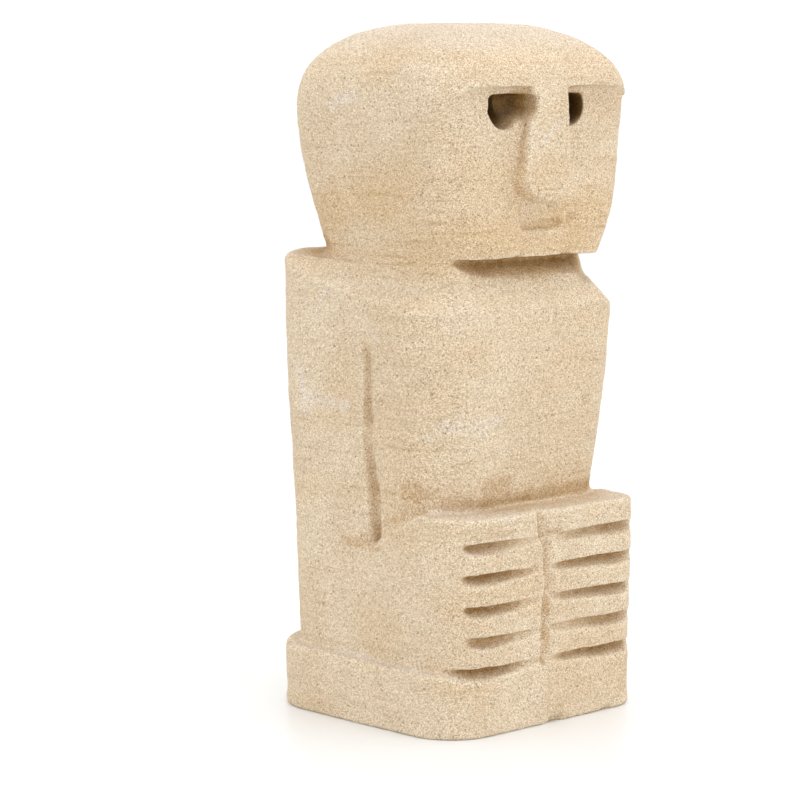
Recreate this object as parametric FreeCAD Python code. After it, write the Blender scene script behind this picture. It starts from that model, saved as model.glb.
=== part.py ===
import FreeCAD, Part
import math
import os

V = FreeCAD.Vector

# Stone figure on a plinth, carved from one block. Lengths are in millimetres.
# It faces -Y, its right arm is on the -X side and +Z is up.
# The origin is the centre of the underside, so heights are measured from the table.

total_height = 300.0
reach = 90.0  # from the middle to a place clear outside the figure
spare = 10.0  # how far a cutting shape runs on past the stone
skin = 1.0  # how far outside the surface a groove's outline starts
pick_slack = 0.5  # allowance when edges are chosen by where they are

# Plinth: a low slab with rounded corners, its top a little higher at the back
plinth_half_width = 61.3
plinth_half_depth = 60.6
plinth_right_radius = 24.0
plinth_left_radius = 19.0
plinth_back_radius = 29.0
plinth_top_front = 27.2
plinth_top_back = 29.6
plinth_top_round = 3.0
plinth_foot_round = 1.8

# Torso and upper arms: height, half width, front, back, front corner radius
torso_levels = (
    (20.0, 56.2, 41.0, 55.6, 29.0),
    (95.0, 58.3, 45.0, 57.8, 29.0),
    (165.0, 60.5, 52.0, 59.8, 26.0),
    (206.0, 61.0, 52.0, 60.4, 27.0),
)
torso_back_radius = 28.0

# Shoulders: the upper surface in side view, and the slope from the chest up to the neck
shoulder_front = (-70.0, 193.6)
shoulder_middle = (0.0, 197.0)
shoulder_back = (66.0, 202.4)
shoulder_round = 3.6
chest_slope_line = ((-42.5, 199.0), (-46.5, 190.0), (-53.5, 179.0))
shoulder_chamfer_reach = 67.2
shoulder_chamfer_height = 181.0
shoulder_chamfer_angle = 43.0
shoulder_chamfer_turn = -45.0

# Bevel along the top of each upper arm, growing towards the front: its height at the
# outside half way along, its rise towards the neck and its rise towards the back
shoulder_bevel_height = 185.5
shoulder_bevel_rise = 0.9
shoulder_bevel_run_out = 0.2

# Hands and forearms: one block across the front, its top falling towards the elbows
hands_front = 60.4
hands_inset = 0.15
hands_back = 20.0
hands_right_radius = 22.0
hands_left_radius = 11.0
hands_back_radius = 8.0
hands_top_edge = 93.2
hands_top_foot = 94.8
forearm_bend = -37.0
elbow_y = -1.0
elbow_z = 75.0
hands_edge_round = 1.6
hands_round_start = 2.0  # in front of the bend in the forearm

# Finger grooves, the same heights on both hands; the lowest parts the hand from the plinth.
# Along each groove: distance from the middle of the figure, depth behind the front, height.
groove_heights = (82.6, 69.4, 56.0, 42.8, 29.6)
groove_undercut = 1.0
groove_roof_rise = 0.2
right_groove_line = (
    (4.0, 1.2, 2.4),
    (12.0, 3.0, 3.8),
    (26.0, 5.2, 5.2),
    (38.0, 7.0, 6.2),
    (46.5, 9.6, 6.4),
    (52.0, 7.0, 3.4),
)
lowest_groove_line = right_groove_line[:-1] + (
    (51.5, 12.4, 7.2),
    (58.0, 15.4, 7.8),
)
left_groove_line = (
    (-2.0, 2.6, 2.8),
    (10.0, 4.2, 4.4),
    (24.0, 5.2, 5.4),
    (38.0, 6.0, 6.2),
    (50.0, 6.4, 6.4),
    (58.0, 5.4, 5.8),
)

# Groove between the hands: height and place across the front
hand_parting_line = (
    (98.0, -8.2),
    (85.0, -7.2),
    (77.0, -3.8),
    (60.0, -2.6),
    (50.0, -4.2),
    (26.0, -5.6),
)
hand_parting_depth = 4.2
hand_parting_steep_side = 0.9
hand_parting_gentle_side = 6.0

# Slot between each upper arm and the chest: height, edge at the arm, width, depth
arm_groove_levels = (
    (60.0, -6.6, 5.0, 5.0),
    (84.0, -6.6, 6.4, 6.4),
    (100.0, -6.0, 6.6, 6.4),
    (116.0, -4.9, 5.4, 5.4),
    (124.0, -4.4, 3.4, 3.4),
    (131.0, -4.6, 5.2, 5.0),
    (139.0, -5.0, 3.8, 4.6),
    (160.0, -5.3, 3.2, 4.2),
    (172.0, -5.6, 0.8, 1.1),
)
arm_groove_lip = 1.6
arm_groove_deepest = 0.35  # share of the width, from the arm
arm_groove_slope_length = 42.0

# Neck: height, half width, front, back
neck_levels = (
    (185.0, 50.4, 50.4, 50.6),
    (192.0, 48.8, 50.4, 49.6),
    (197.0, 47.9, 50.4, 48.6),
    (203.0, 47.3, 50.2, 47.0),
)
neck_front_radius = 24.0
neck_back_radius = 27.0

# Undercut below the chin: height, then how far back it goes at the right side, in the
# middle and at the left side; its floor is a shallow arc across the front
undercut_levels = (
    (188.0, -49.5, -48.6, -41.0),
    (190.6, -47.6, -46.7, -31.6),
    (201.0, -39.5, -38.5, -28.5),
)
undercut_half_width = 52.0
undercut_middle = 30.0
undercut_floor = ((-47.0, 199.0), (-3.0, 190.2), (56.0, 187.0))

# Head below the brow: height, half width, front, back, left front corner radius
head_levels = (
    (200.4, 47.2, 51.6, 46.4, 17.0),
    (215.0, 50.4, 54.4, 49.8, 15.0),
    (230.0, 53.4, 56.6, 53.0, 13.5),
    (247.0, 56.0, 58.0, 55.8, 13.5),
    (263.0, 57.2, 58.4, 56.6, 14.0),
)
head_right_radius = 24.0
head_back_radius = 28.5

# Dome of the head: sizes of the rings compared with the ring it springs from
dome_spring = 263.0
dome_rings = (0.988, 0.95, 0.88, 0.78, 0.64, 0.46, 0.25)
dome_plan_power = 2.8
dome_rise_power = 2.3

# Face: a shallow recess under the brow, deepest at the brow and running out at the chin
brow_z = 272.0
brow_cove = 3.6
cove_bend = 0.25
face_front_chin = 51.5
face_front_brow = 52.6
face_half_width_chin = 54.0
face_half_width_brow = 60.0
face_right_radius_chin = 25.0
face_right_radius_brow = 19.0
face_left_radius_chin = 17.0
face_left_radius_brow = 11.5
face_margin = 6.0  # the outlines are given this far past the chin and the brow
face_recess_back = 20.0
face_kept_back = 40.0
face_kept_radius = 20.0
brow_overlap = 0.6

# Nose: a bar that hangs from the brow and ends in a round tip
nose_x_top = 2.2
nose_x_bottom = -3.0
nose_top = 272.4
nose_bottom = 224.2
nose_half_top = 10.6
nose_half_bottom = 12.9
nose_front_top = 57.6
nose_front_bottom = 60.4
nose_root = 49.0
nose_flare_top = 1.6
nose_flare_bottom = 3.2
nose_round = 2.2
nose_tip_height = 10.5
nose_root_drop = 0.3  # share of the flare by which the root hangs lower

# Eyes: deep round holes cut off level by the brow, slanting a little outwards, and the
# shallower inner corner of the right one. Each has its place across the face, its height,
# its radius, its depth and its slant in degrees.
right_eye = (-21.2, 264.4, 9.6, 24.0, -14.0)
right_eye_corner = (-14.6, 266.0, 7.4, 9.0, 0.0)
left_eye = (17.4, 264.6, 8.6, 24.0, 14.0)
eye_end_share = 0.68
eye_mouth = 54.2
eye_roof = 269.2

# Mouth: a short wedge that slopes in to a nearly level lower lip
mouth_left = 13.5
mouth_right = -10.8
mouth_front = 58.6
mouth_front_top = 227.6
mouth_front_lip = 212.6
mouth_back = 48.8
mouth_back_top = 214.4
mouth_back_lip = 213.0


def corner(x, y, radius, start, z):
    """Quarter circle about (x, y), counter-clockwise from the start angle in degrees."""
    points = []
    for turn in (0, 45, 90):
        angle = math.radians(start + turn)
        points.append(V(x + radius * math.cos(angle), y + radius * math.sin(angle), z))
    return Part.Arc(*points).toShape()


def plan(z, half_width, front, back, right_radius, left_radius, back_radius):
    """Rectangle with round corners at height z; front is the distance towards -Y."""
    arcs = (
        corner(half_width - left_radius, left_radius - front, left_radius, -90, z),
        corner(half_width - back_radius, back - back_radius, back_radius, 0, z),
        corner(back_radius - half_width, back - back_radius, back_radius, 90, z),
        corner(right_radius - half_width, right_radius - front, right_radius, 180, z),
    )
    edges = []
    for arc, following in zip(arcs, arcs[1:] + arcs[:1]):
        edges.append(arc)
        edges.append(Part.makeLine(arc.lastVertex().Point, following.firstVertex().Point))
    return Part.Wire(edges)


def side_prism(outline, half_length):
    """Closed outline of (y, z) points, pushed through from -X to +X."""
    points = [V(-half_length, y, z) for y, z in outline]
    face = Part.Face(Part.makePolygon(points + points[:1]))
    return face.extrude(V(2 * half_length, 0, 0))


def mirrored(shape):
    """The same shape on the other side of the figure."""
    return shape.mirror(V(0, 0, 0), V(1, 0, 0))


def make_plinth():
    wall = plan(0, plinth_half_width, plinth_half_depth, plinth_half_depth,
                plinth_right_radius, plinth_left_radius, plinth_back_radius)
    slab = Part.Face(wall).extrude(V(0, 0, plinth_top_back + spare))
    slope = (plinth_top_back - plinth_top_front) / (2 * plinth_half_depth)
    outside = plinth_half_depth + spare
    slab = slab.cut(side_prism((
        (-outside, plinth_top_front - spare * slope),
        (outside, plinth_top_back + spare * slope),
        (outside, plinth_top_back + 2 * spare),
        (-outside, plinth_top_back + 2 * spare),
    ), reach))
    foot = [edge for edge in slab.Edges if edge.BoundBox.ZMax < pick_slack]
    slab = slab.makeFillet(plinth_foot_round, foot)
    rim = [edge for edge in slab.Edges if edge.BoundBox.ZMin > plinth_top_front - pick_slack]
    return slab.makeFillet(plinth_top_round, rim)


def torso_half_width(z):
    """Half width of the torso's straight part at height z."""
    low, high = torso_levels[1], torso_levels[2]
    return low[1] + (high[1] - low[1]) * (z - low[0]) / (high[0] - low[0])


def make_arm_groove():
    """Slot on the right side, with a long slope from its front lip on to the chest."""
    rings = []
    run_out = arm_groove_slope_length * (1 + skin / arm_groove_lip)
    for z, y, width, depth in arm_groove_levels:
        surface = -torso_half_width(z)
        lip = min(arm_groove_lip, depth - arm_groove_lip)
        wall = V(surface - skin, y, z)
        rings.append(Part.makePolygon((
            wall,
            V(surface + depth, y - arm_groove_deepest * width, z),
            V(surface + lip, y - width, z),
            V(surface - skin, y - width - run_out, z),
            wall,
        )))
    return Part.makeLoft(rings, True, True)


def make_shoulder_chamfer():
    """Half space outside the sloping front corner of the left shoulder."""
    block = Part.makeBox(2 * reach, 2 * reach, 2 * reach, V(0, -reach, -reach))
    block.rotate(V(0, 0, 0), V(0, 1, 0), -shoulder_chamfer_angle)
    block.translate(V(shoulder_chamfer_reach, 0, shoulder_chamfer_height))
    block.rotate(V(0, 0, 0), V(0, 0, 1), shoulder_chamfer_turn)
    return block


def make_shoulder_bevel():
    """What is cut away above the sloping upper edge of the right shoulder."""
    side = -torso_levels[-1][1]
    corners = []
    for x, y in ((-reach, -reach), (0, -reach), (0, reach), (-reach, reach)):
        rise = shoulder_bevel_rise * (x - side) + shoulder_bevel_run_out * y
        corners.append(V(x, y, shoulder_bevel_height + rise))
    return Part.Face(Part.makePolygon(corners + corners[:1])).extrude(V(0, 0, reach))


def make_torso():
    rings = []
    for z, half_width, front, back, radius in torso_levels:
        rings.append(plan(z, half_width, front, back, radius, radius, torso_back_radius))
    torso = Part.makeLoft(rings, True, False)
    ends = [V(-reach, y, z) for y, z in (shoulder_front, shoulder_middle, shoulder_back)]
    roof = Part.Arc(*ends).toShape()
    high_back = V(-reach, shoulder_back[0], total_height)
    high_front = V(-reach, shoulder_front[0], total_height)
    sky = Part.makePolygon([ends[2], high_back, high_front, ends[0]])
    torso = torso.cut(Part.Face(Part.Wire([roof, sky])).extrude(V(2 * reach, 0, 0)))
    rim = [edge for edge in torso.Edges if edge.BoundBox.ZMin > shoulder_front[1] - pick_slack]
    torso = torso.makeFillet(shoulder_round, rim)
    for cut_away in (make_shoulder_chamfer(), make_shoulder_bevel(), make_arm_groove()):
        torso = torso.cut(cut_away).cut(mirrored(cut_away))
    return torso


def make_hands_block():
    """Forearms and hands, with the sloping ledge from the elbows up to the hands."""
    rings = []
    for z, half_width, front, back, radius in torso_levels[:2]:
        rings.append(plan(z, half_width - hands_inset, hands_front, hands_back,
                          hands_right_radius, hands_left_radius, hands_back_radius))
    z, half_width, front, back, radius = torso_levels[1]
    rings.append(plan(z + spare, half_width - hands_inset, hands_front, hands_back,
                      hands_right_radius, hands_left_radius, hands_back_radius))
    block = Part.makeLoft(rings, True, True)
    ledge_slope = (hands_top_foot - hands_top_edge) / (hands_front + forearm_bend)
    forearm_slope = (hands_top_foot - elbow_z) / (forearm_bend - elbow_y)
    outside = hands_back + spare
    block = block.cut(side_prism((
        (-hands_front - spare, hands_top_edge - ledge_slope * spare),
        (forearm_bend, hands_top_foot),
        (outside, elbow_z + forearm_slope * (outside - elbow_y)),
        (outside, total_height),
        (-hands_front - spare, total_height),
    ), reach))
    rim = []
    for edge in block.Edges:
        middle = edge.valueAt((edge.FirstParameter + edge.LastParameter) / 2)
        high = middle.z > hands_top_edge - pick_slack
        if high and middle.y < forearm_bend - hands_round_start:
            rim.append(edge)
    return block.makeFillet(hands_edge_round, rim)


def make_neck():
    rings = []
    for z, half_width, front, back in neck_levels:
        rings.append(plan(z, half_width, front, back,
                          neck_front_radius, neck_front_radius, neck_back_radius))
    return Part.makeLoft(rings, True, False)


def make_chest_slope():
    """What is cut away between the chest and the chin, all the way across."""
    high, low = chest_slope_line[0], chest_slope_line[-1]
    outside = low[0] - 2 * spare
    above = high[1] + 2 * spare
    outline = list(chest_slope_line) + [(outside, low[1]), (outside, above), (high[0], above)]
    return side_prism(outline, reach)


def make_undercut():
    """Hollow under the chin, deepest at the top, above a floor that dips in the middle."""
    rings = []
    front = -plinth_half_depth - 2 * spare
    for z, right_side, middle, left_side in undercut_levels:
        corners = [
            V(-undercut_half_width, front, z),
            V(undercut_half_width, front, z),
            V(undercut_half_width, left_side, z),
            V(undercut_middle, middle, z),
            V(-undercut_middle, middle, z),
            V(-undercut_half_width, right_side, z),
        ]
        rings.append(Part.makePolygon(corners + corners[:1]))
    hollow = Part.makeLoft(rings, True, True)
    start = front - spare
    ends = [V(x, start, z) for x, z in undercut_floor]
    floor = Part.Arc(*ends).toShape()
    sky = Part.makePolygon([
        ends[2],
        V(reach, start, ends[2].z),
        V(reach, start, total_height),
        V(-reach, start, total_height),
        V(-reach, start, ends[0].z),
        ends[0],
    ])
    room = Part.Face(Part.Wire([floor, sky])).extrude(V(0, -start, 0))
    return hollow.common(room)


def dome_height(size):
    """Height of the dome ring of the given size, flattening towards the crown."""
    top = (1 - dome_rings[-1] ** dome_plan_power) ** (1 / dome_rise_power)
    here = (1 - size ** dome_plan_power) ** (1 / dome_rise_power)
    return dome_spring + (total_height - dome_spring) * here / top


def make_head():
    rings = []
    for z, half_width, front, back, left_radius in head_levels:
        rings.append(plan(z, half_width, front, back,
                          head_right_radius, left_radius, head_back_radius))
    z, half_width, front, back, left_radius = head_levels[-1]
    for size in dome_rings:
        rings.append(plan(dome_height(size), half_width * size, front * size, back * size,
                          head_right_radius * size, left_radius * size,
                          head_back_radius * size))
    return Part.makeLoft(rings, True, False)


def make_face_recess():
    """What is cut away in front of the face, with a cove under the brow."""
    below = head_levels[0][0] - face_margin
    arris_y = -head_levels[-1][2] - brow_overlap
    arris_z = brow_z + brow_overlap
    cove_foot_y = skin - face_front_brow
    cove_foot_z = brow_z - brow_cove
    bend_y = cove_foot_y + cove_bend * (arris_y - cove_foot_y)
    bend_z = brow_z - cove_bend * brow_cove
    cove = Part.Arc(V(-reach, cove_foot_y, cove_foot_z), V(-reach, bend_y, bend_z),
                    V(-reach, arris_y, arris_z)).toShape()
    corners = [V(-reach, y, z) for y, z in (
        (arris_y, arris_z), (-reach, arris_z), (-reach, below),
        (-face_recess_back, below), (-face_recess_back, cove_foot_z), (cove_foot_y, cove_foot_z))]
    room = Part.Face(Part.Wire([cove, Part.makePolygon(corners)])).extrude(V(2 * reach, 0, 0))
    chin = plan(below, face_half_width_chin, face_front_chin, face_kept_back,
                face_right_radius_chin, face_left_radius_chin, face_kept_radius)
    brow = plan(brow_z + face_margin, face_half_width_brow, face_front_brow, face_kept_back,
                face_right_radius_brow, face_left_radius_brow, face_kept_radius)
    return room.cut(Part.makeLoft([chin, brow], True, True))


def nose_outline(y, spread):
    """Front view of the nose at depth y; spread is 1 at the root and 0 at the front."""
    half_top = nose_half_top + spread * nose_flare_top
    half_low = nose_half_bottom + spread * nose_flare_bottom
    low = nose_bottom - nose_root_drop * spread * nose_flare_bottom
    cheek = low + nose_tip_height
    share = (cheek - nose_bottom) / (nose_top - nose_bottom)
    x = nose_x_bottom + (nose_x_top - nose_x_bottom) * share
    top_right = V(nose_x_top - half_top, y, nose_top)
    top_left = V(nose_x_top + half_top, y, nose_top)
    low_right = V(x - half_low, y, cheek)
    low_left = V(x + half_low, y, cheek)
    curve = Part.Ellipse(low_left, V(x, y, low), V(x, y, cheek))
    tip = Part.ArcOfEllipse(curve, 0, math.pi).toShape()
    if tip.BoundBox.ZMax > cheek + nose_tip_height / 2:
        tip = Part.ArcOfEllipse(curve, math.pi, 2 * math.pi).toShape()
    sides = [Part.makeLine(top_right, low_right), tip,
             Part.makeLine(low_left, top_left), Part.makeLine(top_left, top_right)]
    return Part.Wire(Part.__sortEdges__(sides))


def make_nose():
    nose = Part.makeLoft([nose_outline(-nose_root, 1), nose_outline(-nose_front_bottom, 0)],
                         True, True)
    lean = math.atan2(nose_front_bottom - nose_front_top, nose_top - nose_bottom)
    slab = Part.makeBox(2 * reach, reach, 2 * reach, V(-reach, -reach, -reach))
    slab.rotate(V(0, 0, 0), V(1, 0, 0), -math.degrees(lean))
    slab.translate(V(0, -nose_front_bottom, nose_bottom))
    nose = nose.cut(slab)
    front = []
    for edge in nose.Edges:
        box = edge.BoundBox
        if box.YMax < pick_slack - nose_front_top and box.ZMin < nose_top - pick_slack:
            front.append(edge)
    return nose.makeFillet(nose_round, front)


def make_eye(x, z, radius, depth, slant):
    """Tapered hole with a round end, slanting towards +X."""
    into = V(math.sin(math.radians(slant)), math.cos(math.radians(slant)), 0)
    mouth = V(x, -eye_mouth, z)
    end_radius = radius * eye_end_share
    widening = (radius - end_radius) / depth
    hole = Part.makeCone(radius + spare * widening, end_radius, spare + depth,
                         mouth - into * spare, into)
    hole = hole.fuse(Part.makeSphere(end_radius, mouth + into * depth))
    below_brow = Part.makeBox(2 * reach, reach, eye_roof, V(-reach, -reach, 0))
    return hole.common(below_brow)


def make_mouth():
    corners = [
        V(mouth_right, -mouth_front, mouth_front_top),
        V(mouth_right, -mouth_back, mouth_back_top),
        V(mouth_right, -mouth_back, mouth_back_lip),
        V(mouth_right, -mouth_front, mouth_front_lip),
    ]
    wedge = Part.Face(Part.makePolygon(corners + corners[:1]))
    return wedge.extrude(V(mouth_left - mouth_right, 0, 0))


def make_finger_groove(z, line, side):
    """Groove with a nearly level roof and a sloping floor, along one hand."""
    rings = []
    front = -hands_front - skin
    for distance, depth, height in line:
        roof = V(side * distance, front, z + groove_roof_rise)
        rings.append(Part.makePolygon((
            roof,
            V(side * distance, depth - hands_front, z - groove_undercut),
            V(side * distance, front, z - height),
            roof,
        )))
    return Part.makeLoft(rings, True, True)


def make_hand_parting():
    """Upright groove between the hands, steep on its right side."""
    rings = []
    front = -hands_front - skin
    spread = 1 + skin / hand_parting_depth
    for z, x in hand_parting_line:
        steep_edge = V(x - hand_parting_steep_side * spread, front, z)
        rings.append(Part.makePolygon((
            steep_edge,
            V(x, hand_parting_depth - hands_front, z),
            V(x + hand_parting_gentle_side * spread, front, z),
            steep_edge,
        )))
    return Part.makeLoft(rings, True, True)


def make_figure():
    head = make_head().cut(make_face_recess())
    head = head.cut(make_eye(*left_eye)).fuse(make_nose())
    head = head.cut(make_eye(*right_eye)).cut(make_eye(*right_eye_corner))
    head = head.cut(make_mouth())
    body = make_torso().fuse(make_neck())
    body = body.cut(make_chest_slope()).cut(make_undercut())
    figure = make_plinth().fuse(body)
    figure = figure.fuse(make_hands_block())
    figure = figure.fuse(head)
    for z in groove_heights:
        right_line = lowest_groove_line if z == groove_heights[-1] else right_groove_line
        figure = figure.cut(make_finger_groove(z, right_line, -1))
        figure = figure.cut(make_finger_groove(z, left_groove_line, 1))
    figure = figure.cut(make_hand_parting())
    return figure


os.makedirs("parts", exist_ok=True)
figure = make_figure()
figure.exportStep("parts/carved_stone_figure.step")
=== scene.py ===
import math

import bpy
import numpy as np
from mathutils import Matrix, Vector, noise
from mathutils.bvhtree import BVHTree


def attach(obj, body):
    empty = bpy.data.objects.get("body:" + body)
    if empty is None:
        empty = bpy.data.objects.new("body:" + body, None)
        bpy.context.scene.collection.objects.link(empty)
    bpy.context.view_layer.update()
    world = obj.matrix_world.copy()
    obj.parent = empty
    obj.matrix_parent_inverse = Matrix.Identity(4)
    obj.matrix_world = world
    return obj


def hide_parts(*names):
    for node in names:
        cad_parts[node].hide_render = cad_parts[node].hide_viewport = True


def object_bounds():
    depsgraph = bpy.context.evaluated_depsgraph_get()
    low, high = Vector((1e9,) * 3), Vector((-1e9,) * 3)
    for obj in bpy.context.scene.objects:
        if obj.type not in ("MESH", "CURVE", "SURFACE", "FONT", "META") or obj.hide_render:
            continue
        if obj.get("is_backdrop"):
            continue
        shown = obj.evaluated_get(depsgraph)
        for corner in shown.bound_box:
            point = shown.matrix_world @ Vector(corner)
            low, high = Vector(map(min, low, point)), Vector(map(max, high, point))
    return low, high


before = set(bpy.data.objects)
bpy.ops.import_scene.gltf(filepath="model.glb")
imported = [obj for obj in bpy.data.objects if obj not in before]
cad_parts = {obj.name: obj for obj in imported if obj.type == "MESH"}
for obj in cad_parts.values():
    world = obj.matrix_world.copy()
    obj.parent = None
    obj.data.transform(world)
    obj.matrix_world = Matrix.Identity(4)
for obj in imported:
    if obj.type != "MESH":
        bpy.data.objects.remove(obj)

# Looks of the carved stone figure. Blender works in metres. The carving is small, so sizes,
# places and marks below are in millimetres, from the middle of the underside.

MM = 0.001
NODE = "carved_stone_figure"
cad_low, cad_high = (np.array(corner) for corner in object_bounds())

# ---------------------------------------------------------------- carved surface

VOXEL_MM = 0.85         # size of the even mesh that is carved
SKIN_MM = 0.35          # taken off first, so that the uneven surface stays inside the CAD box
SOFTEN_STEPS = 2
SOFTEN_SHARE = 0.6
COUNTER_SHARE = 1.02 * SOFTEN_SHARE * 0.55  # taken back, to keep the volume
BLEND_STEPS = 12
WIDE_STEPS = 12         # how far around a point its surroundings reach
KEPT_TRIANGLES = 190_000
FLAT_FOOT_MM = 0.6      # points lower than this lie on the underside
SHELTER_RAYS = 20
SHELTER_REACH_MM = 32
SHELTER_START_MM = 0.25
SHELTER_SMOOTH_STEPS = 4
POINT_TURN = 2.399963   # radians from one point's rays to those of the next
LESS_DUST_AND_SHADE_SHARE = 0.30          # how much less sheltered these places count, for dust and painted shade

# The hand's waver: size and wavelength in millimetres, and the seed for the X direction
WAVERS = ((0.55, 26, 3), (0.28, 11, 13))

# Rasped and chiselled faces, from broad hollows to a coarse skin: size and wavelength in
# millimetres, seed, and how much quicker it changes with height
FACE_LUMPS = (
    (0.24, 34, 21, 1.0),
    (0.17, 9.0, 22, 1.0),
    (0.13, 5.2, 23, 1.6),
    (0.10, 2.6, 24, 1.0),
)
BED_DEPTH_MM = 0.09
BED_THICKNESS_MM = 2.4
BED_STRETCH = 0.06      # how slowly a bed changes along its length
BED_TILT = 0.02

# Worn arrises: an even share, and a share that comes and goes
ARRIS_WEAR_MM = 0.06
ARRIS_NIBBLE_MM = 0.75

# Single marks, each from one place to another: start, end, radius, and for a chip its depth
CHIPS = (
    ((1.0, -60.6, 0.6), (5.0, -60.6, 0.6), 3.6, 1.8),
    ((34.0, -60.4, 0.4), (37.0, -60.2, 0.4), 2.6, 0.9),
    ((18.6, -52.2, 216.8), (18.0, -52.2, 213.6), 2.2, 1.5),
    ((20.2, -52.2, 217.6), (21.8, -52.2, 217.0), 1.7, 1.2),
    ((32.3, -49.8, 137.8), (32.3, -49.8, 136.6), 2.6, 1.5),
    ((-0.5, -59.6, 83.0), (4.5, -60.4, 82.8), 2.4, 1.3),
    ((29.0, -59.0, 81.0), (31.0, -59.0, 81.0), 1.8, 1.0),
    ((-49.3, -35.8, 188.5), (-41.5, -44.2, 191.0), 1.3, 0.7),
)
PALE_SMEARS_AND_HIGHLIGHTS = (
    ((-61.0, 13.5, 188.0), (-61.0, 20.5, 184.0), 3.0),
    ((-61.0, 20.5, 184.0), (-61.0, 22.5, 174.0), 2.6),
    ((-60.0, 35.0, 149.0), (-60.0, 31.0, 134.0), 6.0),
    ((-60.0, 30.0, 139.0), (-60.0, 4.0, 136.5), 5.0),
    ((-49.0, -44.0, 131.0), (-21.0, -49.0, 132.0), 5.0),
    ((-54.0, -38.0, 127.0), (-30.0, -49.0, 127.5), 3.0),
    ((-60.4, -13.0, 171.0), (-59.6, -12.4, 148.0), 2.2),
    # Along the plinth's ledge: a pale smear, with a painted highlight where the ledge top is lit
    # from above
    ((-57.4, 12.0, 29.0), (-58.4, -34.0, 27.6), 2.8),
    ((-58.4, -34.0, 27.6), (-50.0, -54.0, 26.4), 2.0),
    ((-57.0, 16.0, 266.0), (-57.0, 4.0, 269.0), 4.8),
    ((7.0, -58.6, 260.0), (-5.0, -59.0, 250.0), 2.4),
    # Along the hands' ledge: pale wear on its front edge, with a painted highlight where its top
    # is lit from above
    ((-50.0, -38.0, 95.0), (-18.0, -54.0, 94.5), 5.4),
    ((-44.0, -54.5, 92.0), (-24.0, -60.0, 91.6), 2.8),
)
OCHRE_STAINS_AND_SHADE = (
    # Above the forearm: an orange stain, together with painted shade in the recess there
    ((-58.6, -2.0, 80.5), (-57.6, -36.0, 97.5), 4.2),
    # In the mouth: painted shade
    ((4.0, -50.6, 216.0), (14.0, -51.0, 215.6), 2.8),
    # Under the brows, down the nose's flank and under the nose's tip: painted shade
    ((-47.0, -45.0, 270.6), (-12.0, -52.0, 270.6), 3.4),
    ((20.0, -52.0, 270.0), (50.0, -46.0, 270.0), 2.6),
    ((-11.0, -54.5, 258.0), (-15.0, -53.5, 228.0), 3.2),
    ((-15.0, -53.5, 226.0), (-4.0, -53.5, 220.6), 2.6),
    ((-4.0, -53.5, 220.6), (9.0, -53.5, 224.0), 2.6),
    # In the pockets beside the hands' parting: painted shade
    ((-0.5, -57.5, 54.0), (-0.5, -57.5, 48.0), 2.6),
    ((-1.5, -57.5, 41.0), (-1.5, -57.5, 33.0), 3.0),
    ((-57.8, 9.0, 78.5), (-57.8, -12.0, 78.0), 4.6),
    ((-56.0, -30.0, 103.0), (-14.0, -46.0, 104.0), 9.5),
    ((18.2, -52.0, 216.0), (18.2, -52.0, 214.0), 2.6),
    ((32.3, -49.8, 137.6), (32.3, -49.8, 136.6), 2.4),
    ((-1.4, -59.0, 83.0), (6.0, -60.4, 83.0), 2.4),
    ((28.0, -59.0, 81.0), (31.0, -59.0, 81.0), 2.0),
)

# Places that get less dust and less painted shade than their depth suggests
LESS_DUST_AND_SHADE = (
    ((-57.0, -10.0, 76.0), (-59.0, -8.0, 174.0), 13.0),
    ((57.0, -10.0, 76.0), (59.0, -8.0, 174.0), 13.0),
)

# Places where one cut runs softly into the next
BLENDS = (
    ((-17.0, -50.0, 258.5), (-13.0, -44.0, 259.5), 8.0),
    ((-11.5, -51.0, 217.5), (14.5, -51.0, 217.0), 7.0),
    ((-46.0, -42.0, 195.5), (-20.0, -48.0, 190.0), 6.0),
    ((-20.0, -48.0, 190.0), (34.0, -46.0, 187.5), 4.5),
    ((-57.4, -13.8, 84.0), (-59.4, -10.0, 172.0), 4.4),
    ((-57.0, -8.0, 79.0), (-57.0, -10.0, 84.0), 4.5),
) + tuple(((-51.0, -53.5, z), (-46.0, -56.0, z), 4.5) for z in (80.5, 67.3, 53.9, 40.7))


def evaluated(mesh, kind, **settings):
    """A new mesh: the given one after a single modifier."""
    holder = bpy.data.objects.new("work_piece", mesh)
    bpy.context.scene.collection.objects.link(holder)
    modifier = holder.modifiers.new("work", kind)
    for key, value in settings.items():
        setattr(modifier, key, value)
    bpy.context.view_layer.update()
    graph = bpy.context.evaluated_depsgraph_get()
    result = bpy.data.meshes.new_from_object(holder.evaluated_get(graph))
    bpy.data.objects.remove(holder)
    return result


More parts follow.
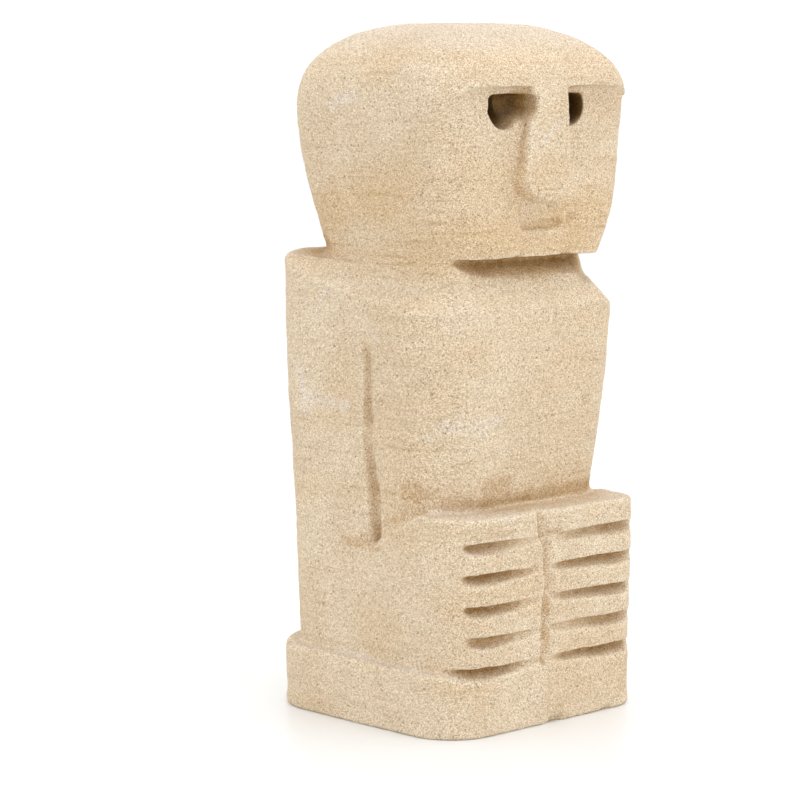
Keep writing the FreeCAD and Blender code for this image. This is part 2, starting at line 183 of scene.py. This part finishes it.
class Surface:
    """Points, edges and normals of a mesh as arrays, with the moves used to carve it."""

    def __init__(self, mesh):
        self.mesh = mesh
        count = len(mesh.vertices)
        self.points = np.empty(count * 3)
        mesh.vertices.foreach_get("co", self.points)
        self.points = self.points.reshape(-1, 3)
        edges = np.empty(len(mesh.edges) * 2, dtype=np.int64)
        mesh.edges.foreach_get("vertices", edges)
        self.edges = edges.reshape(-1, 2)
        self.degree = np.bincount(self.edges.ravel(), minlength=count).astype(float)

    def averaged(self, values):
        """Mean of each point's neighbours, for one column or three."""
        a, b = self.edges.T
        flat = values.reshape(len(values), -1)
        out = np.empty_like(flat)
        for column in range(flat.shape[1]):
            total = np.bincount(a, flat[b, column], len(flat))
            total += np.bincount(b, flat[a, column], len(flat))
            out[:, column] = total / self.degree
        return out.reshape(values.shape)

    def pull(self, share):
        """Moves each point towards the mean of its neighbours."""
        self.points += share * (self.averaged(self.points) - self.points)

    def soften(self, steps):
        """Rounds the surface, with a counter step that keeps its volume."""
        for _ in range(steps):
            self.pull(SOFTEN_SHARE)
            self.pull(-COUNTER_SHARE)

    def blend(self, weights, steps):
        """Smooths the surface where the weights say so."""
        for _ in range(steps):
            self.pull(SOFTEN_SHARE * weights[:, None])

    def normals(self):
        self.mesh.vertices.foreach_set("co", self.points.ravel())
        self.mesh.update()
        out = np.empty(len(self.points) * 3)
        self.mesh.vertex_normals.foreach_get("vector", out)
        return out.reshape(-1, 3)

    def hollow(self, steps):
        """How far each point lies below its surroundings, in millimetres; arrises are below 0."""
        wide = self.points.copy()
        for _ in range(steps):
            wide += 0.9 * (self.averaged(wide) - wide)
        return ((wide - self.points) * self.normals()).sum(1) / MM

    def keep(self, name, values):
        layer = self.mesh.attributes.new(name, "FLOAT", "POINT")
        layer.data.foreach_set("value", values.astype(np.float32))


def lumps(points_mm, wavelength_mm, seed):
    """Smooth random values from about -1 to 1 that repeat nowhere on the figure."""
    offset = Vector((seed * 17.3, seed * -9.1, seed * 5.7))
    return np.array([noise.noise(Vector(p) + offset) for p in points_mm / wavelength_mm])


def ramp(values, low, high):
    """0 below low, 1 above high and smooth between."""
    t = np.clip((values - low) / (high - low), 0, 1)
    return t * t * (3 - 2 * t)


def stroke(points_mm, start, end, radius):
    """1 along the line from start to end, falling smoothly to 0 at the radius."""
    start, along = np.array(start), np.array(end) - np.array(start)
    share = np.clip((points_mm - start) @ along / (along @ along), 0, 1)
    distance = np.linalg.norm(points_mm - start - share[:, None] * along, axis=1)
    return 1 - ramp(distance, 0.25 * radius, radius)


def strokes(points_mm, marks):
    total = np.zeros(len(points_mm))
    for start, end, radius in marks:
        total = np.maximum(total, stroke(points_mm, start, end, radius))
    return total


def carve(mesh):
    """Gives the even CAD surface the uneven one of worked stone."""
    surface = Surface(mesh)
    surface.soften(SOFTEN_STEPS)
    surface.blend(strokes(surface.points / MM, BLENDS), BLEND_STEPS)
    inside = surface.points / MM
    grounded = ramp(inside[:, 2], 0.5, 7.0)

    for axis in range(3):
        drift = sum(size * lumps(inside, wave, seed + axis) for size, wave, seed in WAVERS)
        surface.points[:, axis] += drift * grounded * MM

    arris = ramp(-surface.hollow(WIDE_STEPS), 0.10, 0.55)
    normals = surface.normals()
    points = surface.points / MM

    depth = np.full(len(points), SKIN_MM)
    for size, wave, seed, steepness in FACE_LUMPS:
        depth += size * lumps(points * np.array([1.0, 1.0, steepness]), wave, seed)
    bedded = points * np.array([BED_STRETCH, BED_STRETCH, 1.0]) + BED_TILT * points[:, :1]
    depth += BED_DEPTH_MM * lumps(bedded, BED_THICKNESS_MM, 25)

    nibble = ramp(lumps(points, 4.2, 31) + 0.5 * lumps(points, 2.0, 32), 0.12, 0.75)
    depth += arris * (ARRIS_WEAR_MM + ARRIS_NIBBLE_MM * nibble)
    depth *= np.maximum(grounded, 0.35)

    rough = 1 + 0.5 * lumps(points, 1.9, 41)
    for start, end, radius, chip in CHIPS:
        depth += chip * rough * stroke(points, start, end, radius)
    surface.points -= normals * depth[:, None] * MM

    # A flat underside, and nothing outside the CAD box
    underside = surface.points[:, 2] < FLAT_FOOT_MM * MM
    surface.points[:, 2] = np.where(underside, cad_low[2], surface.points[:, 2])
    surface.points = np.clip(surface.points, cad_low, cad_high)
    surface.normals()
    surface.keep("arris", arris)


def shelter(surface):
    """Share of the directions in front of each point that the figure itself blocks."""
    mesh = surface.mesh
    normals = surface.normals()
    tree = BVHTree.FromPolygons(
        [Vector(p) for p in surface.points], [tuple(f.vertices) for f in mesh.polygons])
    golden = math.pi * (3 - math.sqrt(5))  # a turn that never lines up with itself
    share = (np.arange(SHELTER_RAYS) + 0.5) / SHELTER_RAYS
    radius, height = np.sqrt(share), np.sqrt(1 - share)
    side = np.where(np.abs(normals[:, 2:]) < 0.9, [[0.0, 0.0, 1.0]], [[1.0, 0.0, 0.0]])
    across = np.cross(normals, side)
    across /= np.linalg.norm(across, axis=1)[:, None]
    up = np.cross(normals, across)
    starts = [Vector(p) for p in surface.points + normals * SHELTER_START_MM * MM]
    turn = np.arange(len(normals)) * POINT_TURN
    blocked = np.zeros(len(normals))
    for ray in range(SHELTER_RAYS):
        angle = (ray * golden + turn)[:, None]
        way = height[ray] * normals + radius[ray] * (np.cos(angle) * across + np.sin(angle) * up)
        for at, direction in enumerate(way):
            if tree.ray_cast(starts[at], Vector(direction), SHELTER_REACH_MM * MM)[0] is not None:
                blocked[at] += 1
    blocked /= SHELTER_RAYS
    for _ in range(SHELTER_SMOOTH_STEPS):
        blocked += 0.7 * (surface.averaged(blocked) - blocked)
    return blocked


def carved_mesh():
    fine = evaluated(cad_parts[NODE].data.copy(), "REMESH",
                     mode="VOXEL", voxel_size=VOXEL_MM * MM)
    carve(fine)
    ratio = KEPT_TRIANGLES / (2 * len(fine.polygons))
    mesh = evaluated(fine, "DECIMATE", decimate_type="COLLAPSE", ratio=min(ratio, 1.0))
    surface = Surface(mesh)
    surface.points[:, :] = np.clip(surface.points, cad_low, cad_high)
    points = surface.points / MM
    # How much the figure hides each point, used for dust and painted shade; the smear and ochre
    # marks also carry painted highlight and painted shade
    surface.keep("sheltered", shelter(surface) * (1 - LESS_DUST_AND_SHADE_SHARE * strokes(points, LESS_DUST_AND_SHADE)))
    surface.keep("smear_and_highlight", strokes(points, PALE_SMEARS_AND_HIGHLIGHTS))
    surface.keep("stain_and_shade", strokes(points, OCHRE_STAINS_AND_SHADE))
    mesh.polygons.foreach_set("use_smooth", np.ones(len(mesh.polygons), dtype=bool))
    return mesh


figure = bpy.data.objects.new("carved_stone", carved_mesh())
bpy.context.scene.collection.objects.link(figure)
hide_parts(NODE)
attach(figure, "root")

# ---------------------------------------------------------------- sandstone

GRAIN_MM = 0.29
BIG_GRAIN_MM = 0.75
SPECKLE_MM = 0.27
COARSE_MM = 1.9
BUMP_MM = 0.6
BEDDING = (0.045, 0.045, 1.0)   # beds change slowly along their length

# How strongly a grain's tone shows in red, green and blue, and the level it varies about
TINT = ((1.0, 1.10), (1.12, 1.10), (1.36, 1.11))

def linear(red, green, blue):
    """A colour as it is seen, 0 to 255, turned into the light it sends back."""
    out = []
    for channel in (red, green, blue):
        c = channel / 255
        out.append(c / 12.92 if c <= 0.04045 else ((c + 0.055) / 1.055) ** 2.4)
    return (*out, 1.0)


CREAM = linear(227, 209, 182)
DEEP_CREAM = linear(221, 200, 171)
WARM = linear(217, 191, 154)
THIN_BED = linear(193, 163, 122)
WIDE_BED = linear(214, 183, 142)
LOW_HEAD = linear(216, 183, 137)
# Besides the stone's own marks, these colours paint light and shade: a painted sheen on faces
# that look up, painted highlight on lit ledge tops among the smears, painted shade among the
# ochre marks, dust with painted shade in the hollows and painted shade alone in the deepest, and
# a painted highlight on worn arrises
TOP_SHEEN = linear(210, 198, 184)
SMEAR_AND_HIGHLIGHT = linear(230, 221, 214)
STAIN_AND_SHADE = linear(184, 138, 78)
FILM_AND_SHADE = linear(200, 162, 104)
DUST_AND_SHADE = linear(151, 110, 46)
DEEP_SHADE = linear(84, 58, 16)
WORN_AND_HIGHLIGHT = linear(240, 226, 202)
BROWN_GRAIN = linear(146, 106, 58)
DARK_GRAIN = linear(118, 88, 54)
WHITE_GRAIN = linear(246, 236, 218)


class Nodes:
    """Short names for building a shader."""

    def __init__(self, material):
        material.use_nodes = True
        self.tree = material.node_tree
        self.tree.nodes.clear()

    def add(self, kind, inputs=(), **settings):
        node = self.tree.nodes.new(kind)
        for key, value in settings.items():
            setattr(node, key, value)
        for key, value in dict(inputs).items():
            self.put(node.inputs[key], value)
        return node

    def put(self, socket, value):
        if isinstance(value, bpy.types.NodeSocket):
            self.tree.links.new(value, socket)
        else:
            socket.default_value = value

    def maths(self, operation, a, b=0.0, c=0.0):
        node = self.add("ShaderNodeMath", operation=operation)
        for socket, value in zip(node.inputs, (a, b, c)):
            self.put(socket, value)
        return node.outputs[0]

    def total(self, *values):
        result = values[0]
        for value in values[1:]:
            result = self.maths("ADD", result, value)
        return result

    def times(self, a, b):
        return self.maths("MULTIPLY", a, b)

    def scaled(self, vector, scale):
        node = self.add("ShaderNodeVectorMath", operation="MULTIPLY")
        self.put(node.inputs[0], vector)
        self.put(node.inputs[1], scale)
        return node.outputs[0]

    def noise(self, vector, scale, detail=2.0, rough=0.5):
        node = self.add("ShaderNodeTexNoise", {
            "Vector": vector, "Scale": scale, "Detail": detail, "Roughness": rough})
        return node.outputs["Fac"]

    def cells(self, vector, scale):
        """Two random values for each grain, and the distance from its middle."""
        node = self.add("ShaderNodeTexVoronoi", {"Vector": vector, "Scale": scale})
        value = self.add("ShaderNodeSeparateColor", {"Color": node.outputs["Color"]})
        return value.outputs[0], value.outputs[1], node.outputs["Distance"]

    def remap(self, value, low, high, to_low=0.0, to_high=1.0, smooth=True):
        node = self.add("ShaderNodeMapRange", {
            "Value": value, "From Min": low, "From Max": high,
            "To Min": to_low, "To Max": to_high},
            interpolation_type="SMOOTHSTEP" if smooth else "LINEAR")
        return node.outputs["Result"]

    def mix(self, share, a, b, blend="MIX"):
        node = self.add("ShaderNodeMix", data_type="RGBA", blend_type=blend)
        self.put(node.inputs["Factor"], share)
        self.put(node.inputs["A"], a)
        self.put(node.inputs["B"], b)
        return node.outputs["Result"]

    def attribute(self, name):
        return self.add("ShaderNodeAttribute", attribute_name=name).outputs["Fac"]


def layered_colour(n, mm, beds):
    """Broad colour: cream with warmer clouds and level beds, strongest low on head and torso."""
    clouds = n.noise(mm, 1 / 38, 4, 0.55)
    warm = n.noise(n.scaled(mm, (1, 1, 1.8)), 1 / 55, 3, 0.5)
    wide_beds = n.noise(n.scaled(mm, BEDDING), 1 / 9, 2, 0.5)
    patches = n.noise(mm, 1 / 16, 3, 0.55)
    height = n.add("ShaderNodeSeparateXYZ", {"Vector": mm}).outputs["Z"]
    low_head = n.times(n.remap(height, 188, 202), n.remap(height, 246, 222))
    low_torso = n.times(n.remap(height, 78, 92), n.remap(height, 142, 118))
    layered = n.total(0.45, n.times(low_head, 0.9), n.times(low_torso, 0.55))
    thin_beds = n.times(n.remap(beds, 0.50, 0.68, 0, 0.62), n.remap(patches, 0.42, 0.62, 0.2, 1))
    warmed = n.times(low_head, n.remap(warm, 0.36, 0.56, 0.1, 0.45))

    colour = n.mix(n.remap(clouds, 0.38, 0.64), CREAM, DEEP_CREAM)
    colour = n.mix(n.remap(warm, 0.46, 0.66, 0, 0.40), colour, WARM)
    colour = n.mix(n.times(thin_beds, layered), colour, THIN_BED)
    colour = n.mix(n.remap(wide_beds, 0.55, 0.75, 0, 0.22), colour, WIDE_BED)
    return n.mix(warmed, colour, LOW_HEAD)


def marked(n, mm, colour):
    """Pale mortar-like smears, with painted highlight on the lit ledge tops, and ochre stains,
    with painted shade in the face's and hands' recesses, each broken up.
    """
    rag = n.noise(mm, 1 / 2.6, 5, 0.75)
    smear_and_highlight_edge = n.total(n.attribute("smear_and_highlight"), n.remap(rag, 0.3, 0.7, -0.95, 0.15))
    colour = n.mix(n.remap(smear_and_highlight_edge, 0.0, 0.7, 0, 0.42), colour, SMEAR_AND_HIGHLIGHT)
    stain_and_shade_edge = n.total(n.attribute("stain_and_shade"), n.remap(rag, 0.3, 0.7, 0.1, -0.7))
    return n.mix(n.remap(stain_and_shade_edge, 0.0, 0.9, 0, 0.42), colour, STAIN_AND_SHADE)


def dusted_and_shaded(n, mm, colour, sheltered, facing):
    """Dust and painted shade in the sheltered places, least where they look up; painted shade
    alone in the deepest; paler worn arrises, with a painted highlight along them.
    """
    kept = n.remap(facing, 0.3, 0.9, 1.0, 0.15)
    # Dust and painted shade in the sheltered places
    film_and_shade = n.times(n.remap(sheltered, 0.14, 0.44, 0, 0.34), kept)
    colour = n.mix(film_and_shade, colour, FILM_AND_SHADE)
    dust_and_shade = n.times(n.remap(sheltered, 0.24, 0.56, 0, 0.94, smooth=False),
                   n.remap(n.noise(mm, 1 / 5, 3), 0.3, 0.65, 0.7, 1.0))
    dust_and_shade = n.times(dust_and_shade, n.remap(facing, 0.3, 0.9, 1.0, 0.65))
    colour = n.mix(dust_and_shade, colour, DUST_AND_SHADE)
    # Painted shade in the deepest hollows, the eyes above all
    colour = n.mix(n.remap(sheltered, 0.55, 0.9, 0, 0.85), colour, DEEP_SHADE)
    # Worn arrises: paler wear, with a painted highlight along them
    return n.mix(n.times(n.attribute("arris"), 0.40), colour, WORN_AND_HIGHLIGHT)


def sandstone():
    material = bpy.data.materials.new("sandstone")
    n = Nodes(material)
    place = n.add("ShaderNodeTexCoord").outputs["Object"]
    mm = n.scaled(place, (1 / MM, 1 / MM, 1 / MM))
    normal = n.add("ShaderNodeNewGeometry").outputs["Normal"]
    facing = n.add("ShaderNodeSeparateXYZ", {"Vector": normal}).outputs["Z"]
    sheltered = n.attribute("sheltered")
    beds = n.noise(n.scaled(mm, BEDDING), 1 / 2.2, 3, 0.6)

    # Painted sheen: faces that look up are paler and greyer
    top_sheen = n.times(n.remap(facing, 0.6, 0.98, 0, 0.55), n.remap(sheltered, 0.2, 0.5, 1, 0))
    colour = n.mix(top_sheen, layered_colour(n, mm, beds), TOP_SHEEN)
    colour = marked(n, mm, colour)
    colour = dusted_and_shaded(n, mm, colour, sheltered, facing)

    # Sand grains: each has its own tone; a few are brown, dark or nearly white
    tone, pick, middle = n.cells(mm, 1 / GRAIN_MM)
    _, big_pick, big_middle = n.cells(mm, 1 / BIG_GRAIN_MM)
    speckle = n.noise(mm, 1 / SPECKLE_MM, 2, 0.6)
    shade = n.total(n.remap(tone, 0, 1, -0.44, 0.35, smooth=False),
                    n.remap(speckle, 0.3, 0.7, -0.27, 0.22))
    tint = n.add("ShaderNodeCombineColor", {
        channel: n.maths("MULTIPLY_ADD", shade, strength, level)
        for channel, (strength, level) in enumerate(TINT)})
    colour = n.mix(1.0, colour, tint.outputs[0], "MULTIPLY")
    colour = n.mix(n.remap(pick, 0.94, 0.95, 0, 0.6), colour, BROWN_GRAIN)
    colour = n.mix(n.remap(big_pick, 0.98, 0.985, 0, 0.5), colour, DARK_GRAIN)
    open_share = n.maths("SUBTRACT", 1.0, n.remap(sheltered, 0.35, 0.7))
    white = n.times(n.remap(tone, 0.93, 0.95, 0, 0.45), open_share)
    colour = n.mix(white, colour, WHITE_GRAIN)

    # The open grain, felt as well as seen
    grains = n.total(n.times(middle, -0.65), n.times(speckle, 0.55), n.times(big_middle, -0.15))
    coarse = n.noise(mm, 1 / COARSE_MM, 3, 0.65)
    height = n.total(n.times(grains, 0.5), n.times(coarse, 0.18), n.times(beds, 0.22))
    bump = n.add("ShaderNodeBump", {
        "Height": height, "Strength": 1.0, "Distance": BUMP_MM * MM})
    rough = n.remap(speckle, 0.3, 0.7, 0.84, 0.97)
    shader = n.add("ShaderNodeBsdfPrincipled", {
        "Base Color": colour, "Roughness": rough, "Specular IOR Level": 0.2,
        "Normal": bump.outputs["Normal"]})
    n.add("ShaderNodeOutputMaterial", {"Surface": shader.outputs[0]})
    return material


figure.data.materials.clear()
figure.data.materials.append(sandstone())

# ---------------------------------------------------------------- studio

FLOOR_COLOUR = (0.87, 0.88, 0.885, 1)
FLOOR_HALF_SIZE = 12.0
WORLD_STRENGTH = 1.12
AIM = (0, 0, 0.14)
OVERHEAD_PLACE, OVERHEAD_SIZE, OVERHEAD_POWER = (0.05, -0.15, 1.6), 1.2, 6.8
KEY_PLACE, KEY_SIZE, KEY_POWER = (0.5, -1.6, 0.9), 0.9, 2.2
CAMERA_PLACE = (-0.85945, -0.8625, 0.2813)
CAMERA_DOWN = 6.85      # degrees below level
CAMERA_TURN = -43.8
CAMERA_LENS = 125.1


def floor_material():
    material = bpy.data.materials.new("studio_floor")
    n = Nodes(material)
    shader = n.add("ShaderNodeBsdfPrincipled", {
        "Base Color": FLOOR_COLOUR, "Roughness": 0.35, "Specular IOR Level": 0.3})
    n.add("ShaderNodeOutputMaterial", {"Surface": shader.outputs[0]})
    return material


def make_floor(half_size):
    mesh = bpy.data.meshes.new("floor")
    ring = [(-half_size, -half_size, 0), (half_size, -half_size, 0),
            (half_size, half_size, 0), (-half_size, half_size, 0)]
    mesh.from_pydata(ring, [], [(0, 1, 2, 3)])
    mesh.materials.append(floor_material())
    floor = bpy.data.objects.new("studio_floor", mesh)
    bpy.context.scene.collection.objects.link(floor)
    return floor


def soft_light(name, place, size, power):
    lamp = bpy.data.lights.new(name, "AREA")
    lamp.shape = "DISK"
    lamp.size = size
    lamp.energy = power
    holder = bpy.data.objects.new(name, lamp)
    holder.location = place
    holder.rotation_euler = (Vector(AIM) - Vector(place)).to_track_quat("-Z", "Y").to_euler()
    bpy.context.scene.collection.objects.link(holder)


make_floor(FLOOR_HALF_SIZE)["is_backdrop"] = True

world = bpy.data.worlds.new("studio")
bpy.context.scene.world = world
world.use_nodes = True
background = world.node_tree.nodes["Background"]
background.inputs["Color"].default_value = (1, 1, 1, 1)
background.inputs["Strength"].default_value = WORLD_STRENGTH

soft_light("overhead", OVERHEAD_PLACE, OVERHEAD_SIZE, OVERHEAD_POWER)
soft_light("key", KEY_PLACE, KEY_SIZE, KEY_POWER)

camera_data = bpy.data.cameras.new("camera")
camera_data.sensor_width = 36.0
camera_data.lens = CAMERA_LENS
camera_data.clip_end = 100
camera = bpy.data.objects.new("camera", camera_data)
camera.location = CAMERA_PLACE
camera.rotation_euler = (math.radians(90 - CAMERA_DOWN), 0, math.radians(CAMERA_TURN))
bpy.context.scene.collection.objects.link(camera)
bpy.context.scene.camera = camera
bpy.context.scene.view_settings.view_transform = "Standard"
